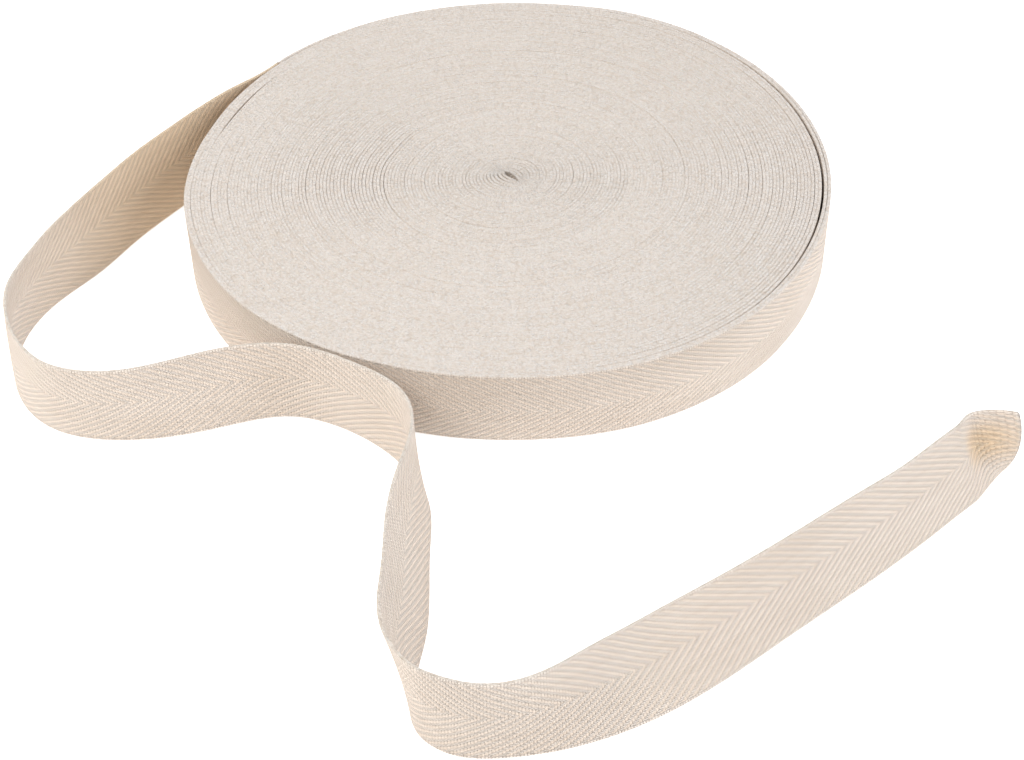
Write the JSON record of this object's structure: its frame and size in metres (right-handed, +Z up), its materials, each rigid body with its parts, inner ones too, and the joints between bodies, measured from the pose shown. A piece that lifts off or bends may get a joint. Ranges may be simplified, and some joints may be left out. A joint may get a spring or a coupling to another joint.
{
  "type": "roll of woven cotton tape",
  "caption": "Flat roll of narrow natural cotton herringbone tape, its outer end unwound in loose bends over the floor.",
  "frame": {"origin": "centre of the roll's flat base, on the floor", "axes": "+Z up along the roll's winding axis; +X right and +Y away as seen from the side the loose end runs towards"},
  "size_m": [0.2956, 0.3224, 0.025],
  "materials": {
    "wound_tape": "matte woven cotton, edge on",
    "tape": "matte herringbone cotton"
  },
  "bodies": {
    "root": {"roll": "wound_tape", "loose_end": "tape"}
  },
  "joints": []
}
